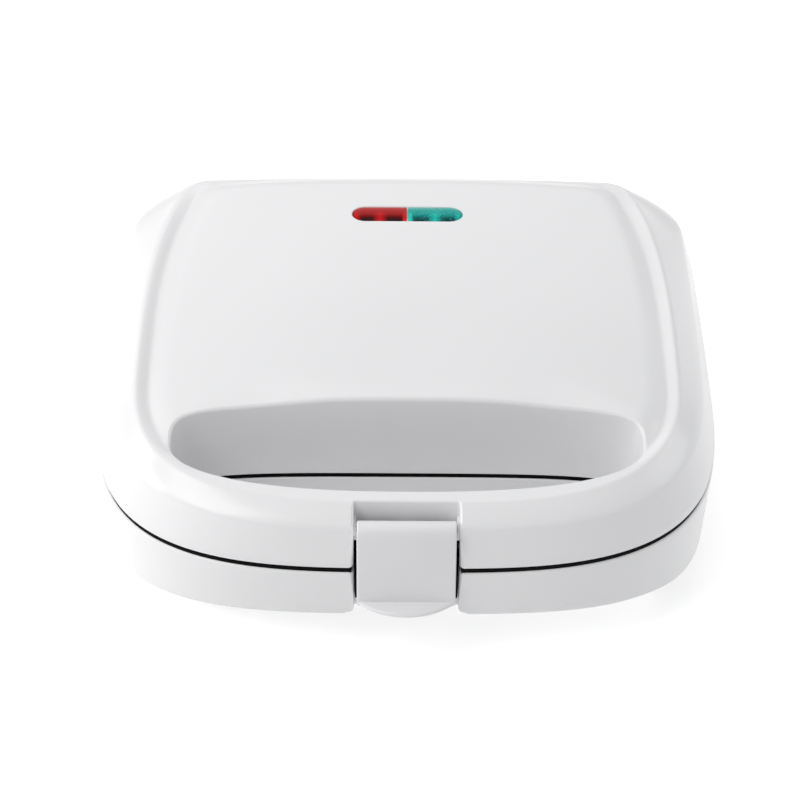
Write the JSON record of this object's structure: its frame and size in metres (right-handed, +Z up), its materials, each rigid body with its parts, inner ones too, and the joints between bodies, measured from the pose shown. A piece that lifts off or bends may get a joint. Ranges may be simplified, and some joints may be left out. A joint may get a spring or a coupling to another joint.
{
  "type": "sandwich maker",
  "caption": "Countertop sandwich maker with a hinged lid over a base, non-stick plates with triangular pockets, a through hand opening, front snap latch and indicator lamps.",
  "frame": {"origin": "centre of the footprint, on the surface that the rubber feet rest on", "axes": "+Z up; the front, with the latch and the hand opening, faces -Y; +X is to the right of someone facing the front"},
  "size_m": [0.225, 0.2232, 0.082],
  "materials": {
    "white_housing": "smooth semi-gloss moulded white plastic",
    "white_latch": "satin moulded white plastic",
    "lamp_tray_plastic": "matt moulded plastic",
    "black_nylon": "matt black heat-resistant moulding",
    "non_stick": "dark non-stick coating on die-cast aluminium",
    "element_steel": "dull steel tube",
    "aluminised_sheet": "pressed aluminised sheet",
    "screw_steel": "zinc-plated steel",
    "red_lens": "clear red moulded lens",
    "green_lens": "clear blue-green moulded lens",
    "bulb_glass": "clear glass",
    "ceramic": "matt ceramic and phenolic",
    "bushing_rubber": "pale moulded bushing",
    "foot_rubber": "matt black rubber"
  },
  "bodies": {
    "base": {"base_shell": "white_housing", "base_inner_frame": "black_nylon", "lower_cooking_plate": "non_stick", "lower_heating_element": "element_steel", "lower_heat_shield": "aluminised_sheet", "lower_plate_screw_1": "screw_steel", "lower_plate_screw_2": "screw_steel", "left_hinge_pin": "screw_steel", "right_hinge_pin": "screw_steel", "thermostat": "ceramic", "thermal_fuse": "ceramic", "terminal_block": "ceramic", "cord_inlet_bushing": "bushing_rubber", "base_screw_1": "screw_steel", "base_screw_2": "screw_steel", "base_screw_3": "screw_steel", "base_screw_4": "screw_steel", "rubber_foot_1": "foot_rubber", "rubber_foot_2": "foot_rubber", "rubber_foot_3": "foot_rubber", "rubber_foot_4": "foot_rubber"},
    "lid": {"lid_shell": "white_housing", "lid_inner_frame": "black_nylon", "upper_cooking_plate": "non_stick", "upper_heating_element": "element_steel", "upper_heat_shield": "aluminised_sheet", "red_lamp_lens": "red_lens", "green_lamp_lens": "green_lens", "lamp_tray": "lamp_tray_plastic", "power_neon_bulb": "bulb_glass", "ready_neon_bulb": "bulb_glass", "lid_screw_1": "screw_steel", "lid_screw_2": "screw_steel", "lid_screw_3": "screw_steel", "lid_screw_4": "screw_steel", "upper_plate_screw_1": "screw_steel", "upper_plate_screw_2": "screw_steel", "latch_pin": "screw_steel"},
    "latch": {"front_latch": "white_latch"}
  },
  "joints": [
    {"name": "lid_hinge", "type": "hinge", "parent": "base", "child": "lid", "pos_m": [0, 0.10755, 0.044], "axis": [-1, 0, 0], "range_deg": [0, 100]},
    {"name": "latch_pivot", "type": "hinge", "parent": "lid", "child": "latch", "pos_m": [0, -0.09955, 0.0566], "axis": [-1, 0, 0], "range_deg": [0, 35]}
  ]
}
